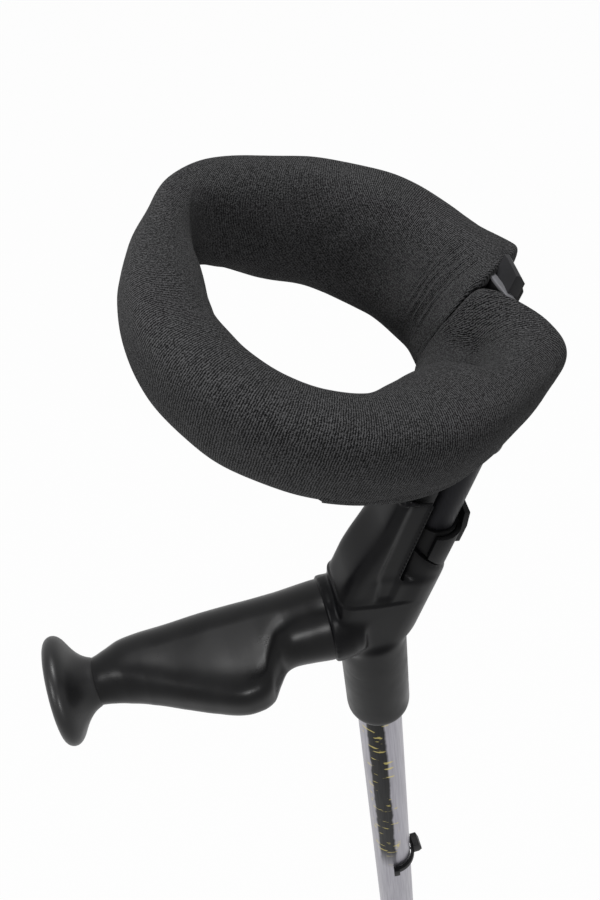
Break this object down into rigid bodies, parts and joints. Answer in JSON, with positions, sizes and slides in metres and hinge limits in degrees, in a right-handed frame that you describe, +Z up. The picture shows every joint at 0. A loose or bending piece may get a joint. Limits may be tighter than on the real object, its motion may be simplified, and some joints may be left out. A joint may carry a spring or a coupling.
{
  "type": "forearm crutch",
  "caption": "Forearm crutch: closed padded cuff on a leaning arm, anatomical side grip, round telescopic shaft with snap clips and a rubber ferrule.",
  "frame": {"origin": "middle of the ferrule's sole, where the crutch meets the floor", "axes": "+Z up the shaft, -X along the hand grip away from the shaft, -Y the side of the palm rest"},
  "size_m": [0.2112, 0.1402, 1.0724],
  "materials": {
    "housing_plastic": "satin moulded black plastic",
    "black_plastic": "matte black moulding",
    "core_plastic": "plain",
    "grey_plastic": "satin grey moulding",
    "grip_rubber": "smooth black, slightly glossy",
    "ferrule_rubber": "matte",
    "lilac_tube": "lilac silver anodised, with a dark printed band and small yellow flecks",
    "bare_tube": "clear anodised",
    "black_tube": "black coated",
    "steel": "plain",
    "cuff_knit": "fine black rib knit",
    "cuff_padding": "soft foam under the knit"
  },
  "bodies": {
    "crutch_body": {"hub_housing": "housing_plastic", "arm_shell": "housing_plastic", "socket_liner": "black_plastic", "grip_core": "core_plastic", "hand_grip": "grip_rubber", "end_knob": "grip_rubber", "grip_screw": "steel", "screw_washer": "steel", "knob_cap": "black_plastic", "outer_tube": "lilac_tube", "tube_collar": "black_plastic", "tube_rivet": "steel"},
    "lower_leg": {"lower_tube": "bare_tube", "lower_tube_plug": "black_plastic", "ferrule_washer": "steel", "ferrule": "ferrule_rubber"},
    "shaft_clip": {"shaft_clip": "black_plastic", "shaft_clip_pin": "steel"},
    "cuff_carrier": {"cuff_tube": "black_tube", "cuff_post": "black_plastic", "hinge_pin": "steel", "hinge_cap_near": "black_plastic", "hinge_cap_far": "black_plastic"},
    "cuff_clip": {"cuff_clip": "black_plastic", "cuff_clip_pin": "steel"},
    "cuff": {"cuff_band": "black_plastic", "cuff_foam": "cuff_padding", "cuff_sleeve": "cuff_knit", "closure_flap": "cuff_knit", "cuff_bracket": "grey_plastic", "bracket_lock": "black_plastic", "band_rivet_lower": "steel", "band_rivet_upper": "steel"}
  },
  "joints": [
    {"name": "height_slide", "type": "slide", "parent": "crutch_body", "child": "lower_leg", "axis": [0, 0, 1], "range_m": [-0.075, 0.075]},
    {"name": "shaft_clip_pull", "type": "slide", "parent": "crutch_body", "child": "shaft_clip", "axis": [1, 0, 0], "range_m": [0, 0.02]},
    {"name": "cuff_height_slide", "type": "slide", "parent": "crutch_body", "child": "cuff_carrier", "axis": [0.3173, 0, 0.9483], "range_m": [-0.024, 0.024]},
    {"name": "cuff_clip_pull", "type": "slide", "parent": "crutch_body", "child": "cuff_clip", "axis": [0.9483, 0, -0.3173], "range_m": [0, 0.02]},
    {"name": "cuff_swing", "type": "hinge", "parent": "cuff_carrier", "child": "cuff", "pos_m": [0.04081, 0, 0.97282], "axis": [0, 1, 0], "range_deg": [-25, 30]}
  ]
}
